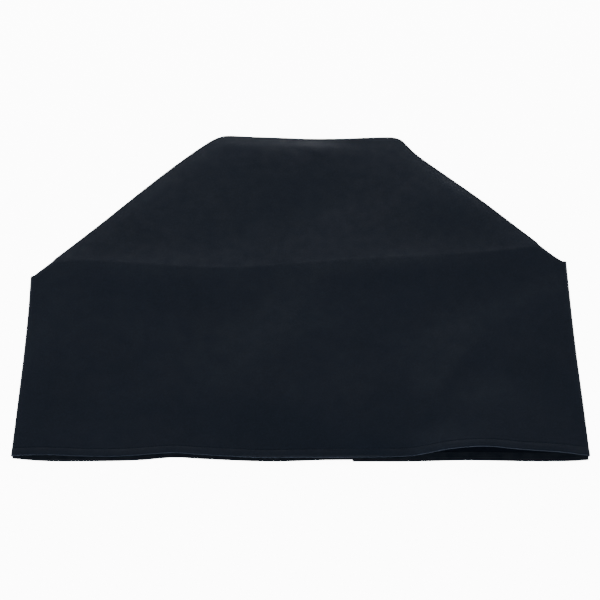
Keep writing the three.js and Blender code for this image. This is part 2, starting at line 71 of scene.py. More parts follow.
# How the folded edges bow: (share along the edge, millimetres outwards)
LEFT_SIDE = ((0, -0.8), (0.25, -1.9), (0.55, -2.9), (0.82, -2.1), (1, -0.4))
LEFT_SLOPE = ((0, -2.0), (0.15, -2.8), (0.36, -1.3), (0.58, 2.1), (0.8, 3.8), (0.93, 1.8), (0.985, -1.2))
TOP_EDGE = ((0.034, 0.7), (0.075, 1.4), (0.18, -0.4), (0.34, -2.2), (0.5, -4.0), (0.67, -2.7), (0.8, -0.7),
            (0.92, 0.5), (0.957, -0.1))
RIGHT_SLOPE = ((0.012, -4.2), (0.045, -5.9), (0.12, -10.0), (0.3, -9.6), (0.53, -7.2), (0.77, -8.0),
               (0.93, -8.2), (1, -5.0))
RIGHT_SIDE = ((0, -0.7), (0.25, -2.0), (0.5, -3.7), (0.8, -4.0), (1, -3.6))

# Crest of the ridge where the front drapes over the tuck: (x, y)
RIDGE = ((-430, 344), (-400, 347), (-341, 348), (-227, 341), (-147, 337), (-55, 341), (60, 348),
         (141, 354), (264, 363), (344, 372), (385, 380), (430, 384))

# Front hem: (x, y, lift of the mouth)
FRONT_HEM = ((-430, 0, 0), (-368, 0.8, 0.6), (-312, -1.2, 0), (-256, -0.6, 0), (-190, 4, 1.6),
             (-148, 1.5, 0.6), (-63, -3.6, 0), (8, -3, 0), (79, -3.2, 0), (160, -1.4, 0.6), (191, 1, 7),
             (221, 4, 13), (270, 6, 17), (324, 3.5, 12.5), (385, 1.8, 6.5), (418, 0, 1.5), (430, 0, 0))

# Back hem: (x, y)
BACK_HEM = ((-430, -3), (-380, -7.6), (-322, -8.2), (-240, -6.4), (-187, -1.6), (-145, -4.2), (-45, -8.4),
            (45, -5.8), (160, -5.6), (244, -3.6), (344, -5.4), (400, -4.8), (430, -2.4))

# The back wall's upright join, and how far the hem to its right hangs lower
JOIN_X = 77.0
JOIN_WIDTH = 1.4
JOIN_STEP = 2.9

# Heights of the front's mid-surface below the ridge and over the tuck, each inside and at the outline,
# and how far in from the outline the edge rounds off
LOW = 5.0
LOW_EDGE = 4.7
HIGH = 10.6
HIGH_EDGE = 11.0
RIM = 6.0

# The front's climb up to the ridge: its length, and how late it steepens
RAMP = 115.0
RAMP_POWER = 1.5

# The ridge's broad lip and its keen lip, each with how far behind the crest it fades, and the crest's rounding
LIP = 1.5
LIP_WIDTH = 28.0
KEEN_LIP = 0.3
KEEN_WIDTH = 4.0
CREST = 1.0

# The tuck's inner fold: how far behind the ridge it lies, and the least depth of the tuck
FOLD_BEHIND = 4.0
SHORTEST_TUCK = 5.0

# How far up from the hem the mouth's lift reaches
LIFT_REACH = 165.0

# Swells fade over these distances from the hem and from the outline, where this share of them is left
HEM_FADE = 30.0
EDGE_FADE = 40.0
EDGE_SHARE = 0.35

# How rounded the crest of a sharp swell stays
CREST_ROUNDING = 0.01

# Swells of the front, fitted to the photograph's shading by a scratch program and then rounded:
# (x, y, half length, half widths above and below, turn in degrees from x, height, sharpness)
SWELLS = (
    (237, 39, 170, 50, 25, -4, -2.5, 0.2),
    (224, 134, 104, 53, 35, 56, 7.0, 0.3),
    (226, 307, 170, 53, 90, 25, 4.8, 0.3),
    (-268, 302, 145, 110, 90, 63, 7.0, 0.1),
    (429, 295, 115, 31, 81, 25, 5.6, 0.2),
    (240, 507, 156, 36, 26, 136, 4.6, 0.2),
    (-77, 587, 170, 107, 69, -49, 7.0, 0.2),
    (8, 582, 101, 21, 61, -2, 7.0, 0.1),
    (99, 23, 34, 110, 90, 11, 6.3, 0.1),
    (-191, 32, 91, 50, 90, -52, -2.5, 0.1),
    (-10, 76, 153, 110, 63, -23, 5.9, 0.2),
    (-221, 513, 170, 101, 56, 46, 7.0, 0.2),
    (228, 475, 105, 110, 54, -38, 7.0, 0.2),
    (161, 337, 31, 99, 90, 99, 3.9, 0.2),
    (-247, 92, 162, 27, 27, -2, 0.8, 0.2),
    (-5, 446, 170, 55, 43, 22, -2.5, 0.2),
    (-219, 371, 168, 58, 30, 6, -2.5, 0.2),
    (13, 256, 170, 60, 90, 59, 7.0, 0.2),
    (-387, 219, 166, 59, 45, 76, 7.0, 0.2),
    (278, 96, 58, 107, 49, 19, 6.2, 0.2),
    (-348, 289, 130, 35, 77, -11, -2.4, 0.2),
    (367, 154, 114, 110, 52, -27, 5.1, 0.2),
)

# Two fine creases from packing and a small rise near the top edge, in the same way
CREASES = (
    (-6, 275, 70, 6, 4, 90, 0.6, 0.6),
    (80, 214, 118, 5, 5, 90, 0.35, 0.4),
    (30, 572, 24, 24, 12, -20, 1.8, 0.4),
)

# Fineness of the mesh, with rows spaced along the walls and as shares from the shoulder to the ridge
COLUMNS = 180
BACK_COLUMNS = 48
TOP_COLUMNS = 60
ROW_STEP = 4.8
ROWS_TO_RIDGE = 6
ROWS_PAST_RIDGE = (1.06, 1.14)
FOLD_STEPS = 8
SIDE_STEPS = 12
TUCK_STEPS = 12
SIDE_SAMPLES = 20
CROWN_SAMPLES = 90
CROWN_TESTS = 4001

# Kinds of rows of the skirt: up the walls to the shoulders, from there to the ridge, and over the tuck
WALL_ROW, RIDGE_ROW, TUCK_ROW = range(3)

# The first row over the tuck, as a share of its way from the ridge to the top
TUCK_START = 0.04

# How much closer together the front's columns are near the side folds, from 0, even, to 1
COLUMN_PULL = 0.35

# Spacing of the tuck's points along it: a power below 1 sets them closer near its inner fold
TUCK_PULL = 0.8

# How far to the left of the top's corners the tuck's ends lie
CORNER_BACK = 1.0

# How the shoulders' row of the mesh bows, and how fast the rows above it settle at their ends
SHOULDER_BOW = 16.0
END_FADE = 8.0

# The cloth's thickness, its weave's pitch, the height of the back's mid-surface and the gap at the sewn seam
CLOTH = 0.8
WEAVE = 0.55
BACK_Z = 0.4
SEAM_GAP = 0.25

# How far the join draws the back up, and over what distance
JOIN_RISE = 0.3
JOIN_REACH = 1.6

# The turned hem: its width, the gap between its two layers' mid-surfaces, the cloth in its turn,
# and the heights of its rows
HEM = 13.5
HEM_GAP = 0.95
HEM_TURN = 1.0
HEM_ROWS = (0.5, 1.6, 3.2, 5.4, 8.0, 10.4, 11.4, 11.9, 12.3, 12.7, 13.2, 13.9, 15.0, 16.6, 18.8)
HEM_FOLD_STEPS = 5

# The hem's stitch line, the valley and the narrow groove that it draws, each with its half width, and how far
# the two layers stand out and over what distance above the hem this ends
STITCH_LINE = 12.3
VALLEY = 0.5
VALLEY_WIDTH = 3.4
GROOVE = 0.3
GROOVE_WIDTH = 0.7
BAND_RISE = 0.35
BAND_FADE = 3.0

# A stitch's sections: (share of the pitch from its middle, share of the thread's thickness,
# rise in half threads), and how far ahead along the line its direction is taken
STITCH = ((-0.43, 0.55, -0.5), (-0.33, 0.95, 0.05), (0, 1, 0.3), (0.33, 0.95, 0.05), (0.43, 0.55, -0.5))
THREAD_SIDES = 6
LOOK_AHEAD = 0.4

# Wear and painted light, from 0 to 1: along the folded edges, wear with a painted highlight, and how far in it
# fades;
# painted light on the hem's inner band, which lies in shade, and wear with a painted highlight low on the
# hem's edge
FOLD_WEAR_AND_HIGHLIGHT = 0.5
FOLD_WEAR_AND_HIGHLIGHT_REACH = 4.0
BAND_PAINTED_LIGHT = 0.6
LOW_HEM_WEAR_AND_HIGHLIGHT = 0.9

# From the plan's millimetres to the frame: x, y and z
PLAN_TO_FRAME = (0.916, -302.611, 0.0)

# The photograph's camera, in the frame's metres, and its tilt from straight down
CAMERA_PLACE = (0.0002, -1.4550, 2.0502)
CAMERA_TILT = 35.0
CAMERA_LENS = 95.03

# The floor's size, and how brightly the walls, the ceiling and the floor shine
FLOOR_SIZE = 16.0
WALL_LIGHT = 5.0
CEILING_LIGHT = 0.1
FLOOR_GLOW = 11.0

# Lights: (name, place, aim, size, power)
LIGHTS = (
    ("back softbox", (-0.15, 2.8, 2.0), (0.0, 0.1, 0.0), (2.6, 1.2), 147.0),
    ("front fill", (-0.4, -2.4, 1.9), (0.0, 0.0, 0.0), (2.4, 1.6), 56.0),
)


def smooth_value(table, column, x):
    """A table's column at x, by a smooth curve through every row."""
    keys = np.array([row[0] for row in table], float)
    values = np.array([row[column] for row in table], float)
    ends = np.arange(len(keys))
    low, high = np.maximum(ends - 1, 0), np.minimum(ends + 1, len(keys) - 1)
    slopes = (values[high] - values[low]) / (keys[high] - keys[low])
    x = np.clip(x, keys[0], keys[-1])
    k = np.clip(np.searchsorted(keys, x, side="right") - 1, 0, len(keys) - 2)
    width = keys[k + 1] - keys[k]
    t = (x - keys[k]) / width
    rise = values[k + 1] - values[k]
    bend_a = slopes[k] * width - rise
    bend_b = rise - slopes[k + 1] * width
    return values[k] + t * rise + t * (1 - t) * ((1 - t) * bend_a + t * bend_b)


def ease(t):
    """A smooth step from 0 to 1, level at both ends."""
    t = np.clip(t, 0, 1)
    return t * t * t * (t * (6 * t - 15) + 10)


def mix(a, b, t):
    return a + (b - a) * t


def bowed_edge(a, b, table):
    """Points of one bowed edge from corner a to corner b, outwards to the left of its direction."""
    a, b = np.array(a), np.array(b)
    way = (b - a) / np.linalg.norm(b - a)
    out = np.array((-way[1], way[0]))
    return [mix(a, b, along) + out * far for along, far in table]


class Line:
    """A smooth line through points of the plan, measured by shares of its length."""

    STEPS = 40

    def __init__(self, points):
        points = np.array(points, float)
        ends = np.vstack((2 * points[0] - points[1], points, 2 * points[-1] - points[-2]))
        t = np.linspace(0, 1, self.STEPS, endpoint=False)[:, None]
        pieces = [self.piece(*ends[k:k + 4], t) for k in range(len(points) - 1)]
        self.places = np.vstack([*pieces, points[-1:]])
        steps = np.linalg.norm(np.diff(self.places, axis=0), axis=1)
        self.lengths = np.concatenate(([0], np.cumsum(steps)))
        self.ways = np.gradient(self.places, self.lengths, axis=0)

    @staticmethod
    def piece(a, b, c, d, t):
        """One centripetal piece from b to c."""
        before, here, after = (math.sqrt(np.linalg.norm(q - p)) for p, q in ((a, b), (b, c), (c, d)))
        leave = ((b - a) / before - (c - a) / (before + here) + (c - b) / here) * here
        arrive = ((c - b) / here - (d - b) / (here + after) + (d - c) / after) * here
        square, cube = t * t, t * t * t
        return (b * (2 * cube - 3 * square + 1) + leave * (cube - 2 * square + t)
                + c * (3 * square - 2 * cube) + arrive * (cube - square))

    def station(self, share):
        """(x, y, outwards x, outwards y) at a share of the length."""
        here = np.asarray(share) * self.lengths[-1]
        x, y, way_x, way_y = (np.interp(here, self.lengths, values)
                              for values in (*self.places.T, *self.ways.T))
        size = np.hypot(way_x, way_y)
        return np.array((x, y, -way_y / size, way_x / size))


left_side = Line(bowed_edge(HEM_LEFT, SHOULDER_LEFT, LEFT_SIDE))
right_side = Line(bowed_edge(SHOULDER_RIGHT, HEM_RIGHT, [(1 - along, out) for along, out in RIGHT_SIDE[::-1]]))
crown = Line([*bowed_edge(SHOULDER_LEFT, TOP_LEFT, LEFT_SLOPE), *bowed_edge(TOP_LEFT, TOP_RIGHT, TOP_EDGE),
              *bowed_edge(TOP_RIGHT, SHOULDER_RIGHT, RIGHT_SLOPE)])
OUTLINE = np.vstack([line.station(np.linspace(0, 1, steps))[:2].T
                     for line, steps in ((left_side, SIDE_SAMPLES), (crown, CROWN_SAMPLES),
                                         (right_side, SIDE_SAMPLES))])


def distance_to_edge(x, y):
    """Distance from each place to the cover's outline."""
    nearest = np.full(np.shape(x), np.inf)
    for a, b in zip(OUTLINE[:-1], OUTLINE[1:]):
        dx, dy = b - a
        t = np.clip(((x - a[0]) * dx + (y - a[1]) * dy) / (dx * dx + dy * dy + 1e-9), 0, 1)
        nearest = np.minimum(nearest, np.hypot(x - a[0] - t * dx, y - a[1] - t * dy))
    return nearest


def bumps(table, x, y):
    """Height that a table's long, rounded rises and hollows add at each place."""
    total = np.zeros(np.shape(x))
    for centre_x, centre_y, half_length, above, below, turn, height, sharpness in table:
        cosine, sine = math.cos(math.radians(turn)), math.sin(math.radians(turn))
        along = ((x - centre_x) * cosine + (y - centre_y) * sine) / half_length
        across = (y - centre_y) * cosine - (x - centre_x) * sine
        across = across / np.where(across > 0, above, below)
        power = 1 - sharpness / 2
        fall = (across ** 2 + CREST_ROUNDING) ** power - CREST_ROUNDING ** power
        total += height * np.exp(-along ** 2 - fall)
    return total


def unevenness(x, y):
    """Slight waves of cloth that isn't drawn tight, of three lengths."""
    slow = np.sin(x / 41 + 1.3 * np.sin(y / 57)) * np.sin(y / 36 + 1.1 * np.sin(x / 63))
    middle = np.sin((x + 0.6 * y) / 17 + 1.7 * np.sin(y / 31)) * np.sin((y - 0.4 * x) / 19)
    quick = np.sin((x - y) / 8.3 + np.sin(x / 13)) * np.sin((x + y) / 9.1 + np.sin(y / 15))
    return 0.34 * slow + 0.13 * middle + 0.035 * quick


def front_z(x, y):
    """Height of the front's mid-surface."""
    behind = y - smooth_value(RIDGE, 1, x)
    ramp = ease((behind + RAMP) / RAMP)
    inside = distance_to_edge(x, y)
    swell = bumps(SWELLS, x, y) * (1 - np.exp(-np.maximum(y, 0) / HEM_FADE))
    z = swell * mix(EDGE_SHARE, 1, 1 - np.exp(-inside / EDGE_FADE))
    z += bumps(CREASES, x, y) + unevenness(x, y)
    for shift in (-CREST, 0, CREST):
        here = behind + shift
        slope = np.clip((here + RAMP) / RAMP, 0, 1) ** RAMP_POWER
        past = np.maximum(here, 0)
        lip = LIP * np.exp(-past / LIP_WIDTH) + KEEN_LIP * np.exp(-past / KEEN_WIDTH)
        z += mix(LOW, HIGH + lip, slope) / 3
    edge = mix(LOW_EDGE, HIGH_EDGE, ramp) + EDGE_SHARE * swell
    inward = 1 - np.exp(-inside / RIM)
    lift = smooth_value(FRONT_HEM, 2, x) * (1 - ease(y / LIFT_REACH))
    return mix(edge, z, inward) + lift


class Sheet:
    """A mid-surface of rows of points, with the place that each point has on the flat cloth."""

    def __init__(self):
        self.points = []
        self.flat = []
        self.faces = []
        self.count = 0

    def row(self, points, flat):
        """Adds a row and returns the numbers of its points."""
        points = np.atleast_2d(points)
        self.points.append(points)
        self.flat.append(np.atleast_2d(flat))
        self.count += len(points)
        return np.arange(self.count - len(points), self.count)

    def join(self, low, high, axis=None):
        """Joins two rows by quads, or by triangles matched along the axis where their lengths differ."""
        if len(low) == len(high):
            self.faces += [tuple(face) for face in
                           np.column_stack((low[:-1], low[1:], high[1:], high[:-1])).tolist()]
            return
        places = np.vstack(self.points)[:, axis]
        share_low, share_high = ((places[row] - places[row[0]]) / (places[row[-1]] - places[row[0]])
                                 for row in (low, high))
        a = b = 0
        while a < len(low) - 1 or b < len(high) - 1:
            low_is_next = b == len(high) - 1 or (a < len(low) - 1 and share_low[a + 1] <= share_high[b + 1])
            if low_is_next:
                self.faces.append((int(low[a]), int(low[a + 1]), int(high[b])))
                a += 1
            else:
                self.faces.append((int(low[a]), int(high[b + 1]), int(high[b])))
                b += 1

    def normals(self):
        """The unit normal at every point, averaged over its faces."""
        points = np.vstack(self.points)
        normals = np.zeros_like(points)
        for size in (3, 4):
            faces = np.array([face for face in self.faces if len(face) == size])
            if len(faces):
                first = points[faces[:, -2]] - points[faces[:, 0]]
                second = points[faces[:, -1]] - points[faces[:, size - 3]]
                for corner in range(size):
                    np.add.at(normals, faces[:, corner], np.cross(first, second))
        return normals / np.maximum(np.linalg.norm(normals, axis=1, keepdims=True), 1e-12)


def round_fold(edge, out, from_z, to_z, reach, steps):
    """Points of a half-round fold between two layers, without its ends."""
    angle = np.pi * np.arange(1, steps) / steps
    far = reach * np.sin(angle)
    return np.column_stack((edge[0] + out[0] * far, edge[1] + out[1] * far,
                            mix(from_z, to_z, (1 - np.cos(angle)) / 2)))


def layer_edge(place, reach):
    """The edge of a layer: the fold's reach and half the cloth inside the outline."""
    inset = reach + CLOTH / 2
    return place[0] - place[2] * inset, place[1] - place[3] * inset


def tuck_z(x, y, share):
    """Height of a tucked layer at its share of the space under the front."""
    return mix(BACK_Z, front_z(x, y), share)


def tuck_section(place):
    """The tuck at one x, from the front's edge round to the back's edge."""
    x, y = layer_edge(place, TOP_REACH)
    fold_y = min(float(ridge_y(x)) + FOLD_BEHIND, y - SHORTEST_TUCK)
    along = mix(y, fold_y, np.linspace(0, 1, TUCK_STEPS + 1) ** TUCK_PULL)
    across = np.full_like(along, x)
    upper = np.column_stack((across, along, tuck_z(across, along, 2 / 3)))
    lower = np.column_stack((across, along, tuck_z(across, along, 1 / 3)))[::-1]
    top = float(front_z(x, y))
    inner_reach = (upper[-1, 2] - lower[0, 2]) / 2
    return np.vstack((
        (x, y, top),
        round_fold((x, y), place[2:], top, upper[0, 2], TOP_REACH, FOLD_STEPS),
        upper,
        round_fold((x, fold_y), (0, -1), upper[-1, 2], lower[0, 2], inner_reach, FOLD_STEPS),
        lower,
        round_fold((x, y), place[2:], lower[-1, 2], BACK_Z, TOP_REACH, FOLD_STEPS),
        (x, y, BACK_Z),
    ))


def side_section(place):
    """The plain side fold at one place of the outline, from the front's edge to the back's edge."""
    rough = layer_edge(place, (LOW_EDGE - BACK_Z) / 2)
    reach = (float(front_z(*rough)) - BACK_Z) / 2
    x, y = layer_edge(place, reach)
    top = float(front_z(x, y))
    fold = round_fold((x, y), place[2:], top, BACK_Z, reach, SIDE_STEPS)
    return np.vstack(((x, y, top), fold, (x, y, BACK_Z)))


def section_flat(points, side):
    """Where a section's points lie on the flat strip, whose middle is the front's middle."""
    start, end = points[0], points[-1]
    steps = np.linalg.norm(np.diff(points, axis=0), axis=1)
    share = np.concatenate(([0], np.cumsum(steps))) / steps.sum()
    return np.column_stack((mix(start[0], 2 * side * HALF - end[0], share), mix(start[1], end[1], share)))


def ridge_y(x):
    """The ridge's crest at x."""
    return smooth_value(RIDGE, 1, x)


def shoulder_y(x):
    """The mesh's row from shoulder to shoulder, bowed a little towards the hem."""
    straight = mix(SHOULDER_LEFT[1], SHOULDER_RIGHT[1], (x + HALF) / (2 * HALF))
    return straight - SHOULDER_BOW * (1 - (x / HALF) ** 2)


def front_hem_y(x):
    """The front hem's edge at x."""
    return smooth_value(FRONT_HEM, 1, x)


def back_hem_y(x):
    """The back hem's edge at x, with its step at the join."""
    return smooth_value(BACK_HEM, 1, x) - JOIN_STEP * (x > JOIN_X)


def crown_share(test):
    """The first share of the crown's length whose place passes the test."""
    shares = np.linspace(0, 1, CROWN_TESTS)
    found = test(*crown.station(shares)[:2])
    return shares[np.argmax(found)]


# Where along the crown the ridge and the top edge end, and how far the tuck's outer folds reach
RIDGE_ENDS = (crown_share(lambda x, y: y > ridge_y(x)), crown_share(lambda x, y: (x > 0) & (y < ridge_y(x))))
TOP_ENDS = tuple(crown_share(lambda x, y: x > corner[0] - CORNER_BACK) for corner in (TOP_LEFT, TOP_RIGHT))
TOP_REACH = (HIGH_EDGE - BACK_Z) / 6
HALF_FOLD = FOLD_STEPS // 2
ROUND_THE_WALLS = ("front", "right", "back", "left")


def between(a, b):
    """Place a, facing half way between the directions of a and b."""
    out = a[2:] + b[2:]
    return np.concatenate((a[:2], out / np.linalg.norm(out)))


def skirt_rows():
    """Every row of the skirt from the hem up: (guide, share, left place, right place)."""
    hem_shares = [height / SHOULDER_LEFT[1] for height in HEM_ROWS]
    wall_steps = round((SHOULDER_LEFT[1] - HEM_ROWS[-1]) / ROW_STEP)
    tuck_rows = round((HEIGHT - ridge_y(0)) / ROW_STEP)
    ridge_shares = (*np.linspace(0, 1, ROWS_TO_RIDGE + 1)[1:], *ROWS_PAST_RIDGE)
    guides = [(WALL_ROW, share) for share in hem_shares]
    guides += [(WALL_ROW, share) for share in np.linspace(hem_shares[-1], 1, wall_steps + 1)[1:]]
    guides += [(RIDGE_ROW, share) for share in ridge_shares]
    guides += [(TUCK_ROW, share) for share in np.linspace(TUCK_START, 1, tuck_rows)]
    rows = []
    for guide, share in guides:
        if guide == WALL_ROW and share < 1:
            ends = left_side.station(share), right_side.station(1 - share)
        elif guide == WALL_ROW:
            ends = (between(left_side.station(1), crown.station(0)),
                    between(right_side.station(0), crown.station(1)))
        elif guide == RIDGE_ROW:
            ends = crown.station(mix(0, RIDGE_ENDS[0], share)), crown.station(mix(1, RIDGE_ENDS[1], share))
        else:
            ends = [crown.station(mix(RIDGE_ENDS[k], TOP_ENDS[k], share)) for k in (0, 1)]
        rows.append((guide, share, *ends))
    return rows


def layer_row(guide, along, left, right, hem, x, height):
    """One row of a layer at the given x, drawn so that it meets both of its ends."""
    def line_y(at):
        if guide == WALL_ROW:
            return mix(hem(at), shoulder_y(at), along)
        if guide == RIDGE_ROW:
            return mix(shoulder_y(at), ridge_y(at), along)
        return mix(ridge_y(at), HEIGHT, along)
    across = (x - left[0]) / (right[0] - left[0])
    fade = END_FADE if guide == RIDGE_ROW else 1
    misses = left[1] - line_y(left[0]), right[1] - line_y(right[0])
    shares = (1 - across * fade, 1 - (1 - across) * fade)
    y = line_y(x) + sum(miss * np.maximum(share, 0) for miss, share in zip(misses, shares))
    return np.column_stack((x, y, height(x, y)))


def crown_row(across, reach):
    """Places along the top edge, moved to a layer's edge: x, y and the outward direction."""
    place = crown.station(mix(*TOP_ENDS, across))
    x, y = layer_edge(place, reach)
    return np.array((x, y, place[2], place[3]))


def front_shares():
    """Shares of the width for the front's columns, closer near the side folds."""
    even = np.linspace(0, 1, COLUMNS + 1)[1:-1]
    return mix(even, (1 - np.cos(np.pi * even)) / 2, COLUMN_PULL)


def back_x(left, right):
    """The back's columns between x left and x right, with four that keep to the upright join."""
    half = JOIN_WIDTH / 2
    share = (JOIN_X + HALF) / (2 * HALF)
    lefts = round(BACK_COLUMNS * share)
    return np.concatenate((
        np.linspace(left, JOIN_X - 3 * half, lefts + 1)[1:],
        (JOIN_X - half, JOIN_X + half),
        np.linspace(JOIN_X + 3 * half, right, BACK_COLUMNS - lefts + 1)[:-1],
    ))


def back_z(x, y):
    """The back lies flat, drawn up a little along its join."""
    return BACK_Z + JOIN_RISE * np.exp(-((x - JOIN_X) / JOIN_REACH) ** 2)


def front_flat(points):
    """Where the front's points lie on the flat strip."""
    return points[:, :2]


def back_flat(points):
    """Where the back's points lie on the flat strip, which ends at the join."""
    side = np.where(points[:, 0] > JOIN_X, 1, -1)
    return np.column_stack((2 * side * HALF - points[:, 0], points[:, 1]))


def sew_to_top(sheet, last, edge, from_z, share, ends, flat):
    """Quarter rounds from a layer's top edge to the seam with the top panel, between the side folds' ends."""
    to_z = tuck_z(edge[0], edge[1], share)
    for step in range(1, HALF_FOLD + 1):
        turn = np.pi * step / FOLD_STEPS - (SEAM_GAP / TOP_REACH if step == HALF_FOLD else 0)
        far = TOP_REACH * np.sin(turn)
        points = np.column_stack((edge[0] + edge[2] * far, edge[1] + edge[3] * far,
                                  mix(from_z, to_z, (1 - np.cos(turn)) / 2)))
        new = np.concatenate((ends[0][step:step + 1], sheet.row(points, flat(points)), ends[1][step:step + 1]))
        sheet.join(last, new)
        last = new


def build_skirt():
    """The skirt's mid-surface. Also returns the hem's stitch line, as points and outward directions."""
    sheet = Sheet()
    across = front_shares()
    rows = skirt_rows()
    rings = []
    below = None
    for number, (guide, share, left_place, right_place) in enumerate(rows):
        section = tuck_section if guide == TUCK_ROW else side_section
        left, right = section(left_place), section(right_place)
        if guide == WALL_ROW:
            left[-1, 1] += back_hem_y(-HALF) * (1 - share)
            right[-1, 1] += back_hem_y(HALF) * (1 - share)
        back_across = back_x(left[-1, 0], right[-1, 0])
        if number == len(rows) - 1:
            front_edge = crown_row(across, TOP_REACH)
            back_edge = crown_row((back_across - left[-1, 0]) / (right[-1, 0] - left[-1, 0]), TOP_REACH)
            front = np.column_stack((front_edge[0], front_edge[1], front_z(front_edge[0], front_edge[1])))
            back = np.column_stack((back_edge[0], back_edge[1], np.full(len(back_edge[0]), BACK_Z)))
        else:
            front_across = mix(left[0, 0], right[0, 0], across)
            front = layer_row(guide, share, left[0], right[0], front_hem_y, front_across, front_z)
            back = layer_row(guide, share, left[-1], right[-1], back_hem_y, back_across, back_z)
        left_row = sheet.row(left, section_flat(left, -1))
        right_row = sheet.row(right, section_flat(right, 1))
        front_row = sheet.row(front, front_flat(front))
        back_row = sheet.row(back[::-1], back_flat(back[::-1]))
        now = {
            "left": left_row[::-1],
            "right": right_row,
            "front": np.concatenate((left_row[:1], front_row, right_row[:1])),
            "back": np.concatenate((right_row[-1:], back_row, left_row[-1:])),
        }
        if below:
            for wall in ROUND_THE_WALLS:
                sheet.join(below[wall], now[wall], axis=2)
        if number < len(HEM_ROWS):
            rings.append(np.concatenate([now[wall][:-1] for wall in ROUND_THE_WALLS]))
        below = now

    sew_to_top(sheet, below["front"], front_edge, front[:, 2], 2 / 3, (left_row, right_row), front_flat)
    back_ends = (right_row[::-1], left_row[::-1])
    sew_to_top(sheet, below["back"], back_edge[:, ::-1], BACK_Z, 1 / 3, back_ends, back_flat)
    return sheet, turn_hem(sheet, rings)


def turn_hem(sheet, rings):
    """Shapes the hem's band, turns the cloth in at its lower edge and returns the stitch line."""
    points = np.vstack(sheet.points)
    normals = sheet.normals()
    upper = ease(normals[:, 2:] * 2)
    heights = np.array(HEM_ROWS)
    for ring, height in zip(rings, heights):
        past = height - STITCH_LINE
        band = BAND_RISE * (1 - ease((height - HEM) / BAND_FADE))
        band -= VALLEY * math.exp(-(past / VALLEY_WIDTH) ** 2) + GROOVE * math.exp(-(past / GROOVE_WIDTH) ** 2)
        points[ring] += normals[ring] * band * upper[ring]
    sheet.points = [points]
    first, second = points[rings[0]], points[rings[1]]
    up = (second - first) / np.linalg.norm(second - first, axis=1, keepdims=True)
    out = normals[rings[0]]
    centre = first - out * (HEM_GAP / 2)
    flat = np.vstack(sheet.flat)
    last = rings[0]
    for step in range(1, HEM_FOLD_STEPS):
        angle = np.pi * step / HEM_FOLD_STEPS
        place = centre + (out * math.cos(angle) - up * math.sin(angle)) * (HEM_GAP / 2)
        turned = step * (HEM_ROWS[0] + HEM_TURN) / HEM_FOLD_STEPS
        new = sheet.row(place, np.column_stack((flat[rings[0], 0], np.full(len(place), -turned))))
        sheet.join(np.append(new, new[0]), np.append(last, last[0]))
        last = new
    for ring, height in zip(rings, heights):
        if height > HEM:
            break
        place = points[ring] - normals[ring] * HEM_GAP
        new = sheet.row(place, np.column_stack((flat[ring, 0], np.full(len(place), -height - HEM_TURN))))
        sheet.join(np.append(new, new[0]), np.append(last, last[0]))
        last = new
    line = rings[HEM_ROWS.index(STITCH_LINE)]
    return points[line], normals[line]


def build_top():
    """The top panel's mid-surface: the tuck's sections from seam to seam between the side walls."""
    sheet = Sheet()
    last = None
    for across in np.linspace(0, 1, TOP_COLUMNS + 1):
        place = crown.station(mix(*TOP_ENDS, across))
        if across in (0, 1):
            place[0] += SEAM_GAP * (1 - 2 * across)
        points = tuck_section(place)[HALF_FOLD:-HALF_FOLD]
        x, y = layer_edge(place, TOP_REACH)
        turn = np.pi / 2 + SEAM_GAP / TOP_REACH
        far = TOP_REACH * math.sin(turn)
        down = (1 - math.cos(turn)) / 2
        for end, (from_z, to_z) in ((0, (front_z(x, y), tuck_z(x, y, 2 / 3))),
                                    (-1, (BACK_Z, tuck_z(x, y, 1 / 3)))):
            points[end] = (x + place[2] * far, y + place[3] * far, mix(from_z, to_z, down))
        steps = np.linalg.norm(np.diff(points, axis=0), axis=1)
        length = np.concatenate(([0], np.cumsum(steps)))
        row = sheet.row(points, np.column_stack((points[:, 0], length)))
        if last is not None:
            sheet.join(last, row)
        last = row
    return sheet


def place_in_frame(points):
    """From the plan that the cover is drawn in, in millimetres, to the frame, in metres."""
    return (np.asarray(points) + np.array(PLAN_TO_FRAME)) * MM


def new_object(name, points, faces):
    """A selected and active object from points of the plan and their faces."""
    mesh = bpy.data.meshes.new(name)
    mesh.from_pydata(place_in_frame(points).tolist(), [], faces)
    mesh.update()
    made = bpy.data.objects.new(name, mesh)
    bpy.context.scene.collection.objects.link(made)
    bpy.ops.object.select_all(action="DESELECT")
    made.select_set(True)
    bpy.context.view_layer.objects.active = made
    return made


